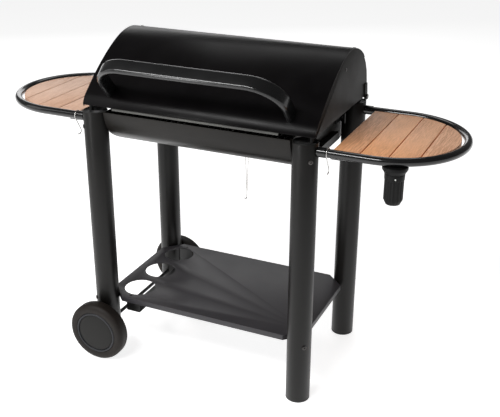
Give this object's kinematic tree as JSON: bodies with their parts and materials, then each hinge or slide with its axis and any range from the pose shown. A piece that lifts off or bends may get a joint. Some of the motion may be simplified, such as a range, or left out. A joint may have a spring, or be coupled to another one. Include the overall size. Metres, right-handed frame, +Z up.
{
  "type": "gas barbecue grill",
  "caption": "Upright gas barbecue cart with a hinged roll-top lid, round-ended wooden side tables, a bottle shelf, a pair of wheels and swinging tool hooks.",
  "frame": {"origin": "on the floor, midway between the four legs", "axes": "+X towards the side table with the gas control, +Y towards the back (the cook stands at -Y), +Z up"},
  "size_m": [1.522, 0.6225, 1.0515],
  "materials": {
    "leg_coat": "satin powder coat",
    "black_plastic": "matt moulded",
    "shelf_coat": "satin powder coat",
    "black_coat": "satin powder coat",
    "dark_screw": "blackened",
    "firebox_coat": "heat-proof enamel, satin",
    "grate_enamel": "enamelled",
    "bare_steel": "bare",
    "valve_plastic": "moulded",
    "grip_plastic": "moulded",
    "tube_paint": "gloss paint",
    "slat_wood": "oiled hardwood",
    "lid_paint": "smooth enamel, semi-gloss",
    "strip_steel": "plain",
    "black_rubber": "matt",
    "handle_paint": "satin paint",
    "rack_chrome": "bright",
    "tyre_rubber": "grained",
    "wheel_plastic": "matt moulded"
  },
  "bodies": {
    "cart": {"leg_front_left": "leg_coat", "leg_front_right": "leg_coat", "leg_rear_left": "leg_coat", "leg_rear_right": "leg_coat", "leg_caps": "black_plastic", "foot_plugs": "black_plastic", "shelf": "shelf_coat", "bottle_strap": "black_coat", "axle": "black_coat", "firebox_brackets": "black_coat", "gas_manifold": "black_coat", "hinge_brackets": "black_coat", "shelf_screws": "dark_screw", "bracket_screws": "dark_screw", "strap_rivets": "dark_screw", "hinge_bolts": "dark_screw", "slat_screws": "dark_screw", "firebox_trough": "firebox_coat", "end_plate_left": "firebox_coat", "end_plate_right": "firebox_coat", "grate_ledges": "firebox_coat", "drain_spout": "firebox_coat", "grate_left": "grate_enamel", "grate_right": "grate_enamel", "flame_tamers": "bare_steel", "burner_front": "bare_steel", "burner_rear": "bare_steel", "gas_pipe": "bare_steel", "hanger_lug": "bare_steel", "valve_housing": "valve_plastic", "table_tube_left": "tube_paint", "table_tube_right": "tube_paint", "table_rails_left": "black_coat", "table_rails_right": "black_coat", "slat_left_1": "slat_wood", "slat_left_2": "slat_wood", "slat_left_3": "slat_wood", "slat_left_4": "slat_wood", "slat_right_1": "slat_wood", "slat_right_2": "slat_wood", "slat_right_3": "slat_wood", "slat_right_4": "slat_wood"},
    "lid": {"lid_skin": "lid_paint", "lid_end_left": "lid_paint", "lid_end_right": "lid_paint", "lid_back": "lid_paint", "lid_strip": "strip_steel", "lid_bumpers": "black_rubber", "lid_screws": "dark_screw", "handle": "handle_paint", "handle_plugs": "black_plastic", "warming_rack": "rack_chrome"},
    "wheel_front": {"tyre_front": "tyre_rubber", "disc_front": "wheel_plastic"},
    "wheel_rear": {"tyre_rear": "tyre_rubber", "disc_rear": "wheel_plastic"},
    "control_grip": {"twist_grip": "grip_plastic"},
    "hook_left": {"hook_left": "bare_steel"},
    "hook_right": {"hook_right": "bare_steel"},
    "cup_hanger": {"drip_hanger": "bare_steel"}
  },
  "joints": [
    {"name": "lid_hinge", "type": "hinge", "parent": "cart", "child": "lid", "pos_m": [0, 0.222, 0.866], "axis": [-1, 0, 0], "range_deg": [0, 82]},
    {"name": "wheel_front_spin", "type": "hinge", "parent": "cart", "child": "wheel_front", "pos_m": [-0.345, -0.2828, 0.101], "axis": [0, 1, 0], "continuous": true},
    {"name": "wheel_rear_spin", "type": "hinge", "parent": "cart", "child": "wheel_rear", "pos_m": [-0.345, 0.2828, 0.101], "axis": [0, 1, 0], "continuous": true},
    {"name": "control_twist", "type": "hinge", "parent": "cart", "child": "control_grip", "pos_m": [0.597, -0.196, 0.76], "axis": [0, 0, -1], "range_deg": [0, 180]},
    {"name": "hook_left_swing", "type": "hinge", "parent": "cart", "child": "hook_left", "pos_m": [-0.412, -0.2176, 0.824], "axis": [1, 0, 0], "range_deg": [-35, 35]},
    {"name": "hook_right_swing", "type": "hinge", "parent": "cart", "child": "hook_right", "pos_m": [0.412, -0.2176, 0.824], "axis": [1, 0, 0], "range_deg": [-35, 35]},
    {"name": "cup_hanger_swing", "type": "hinge", "parent": "cart", "child": "cup_hanger", "pos_m": [0.068, 0, 0.712], "axis": [1, 0, 0], "range_deg": [-45, 45]}
  ]
}
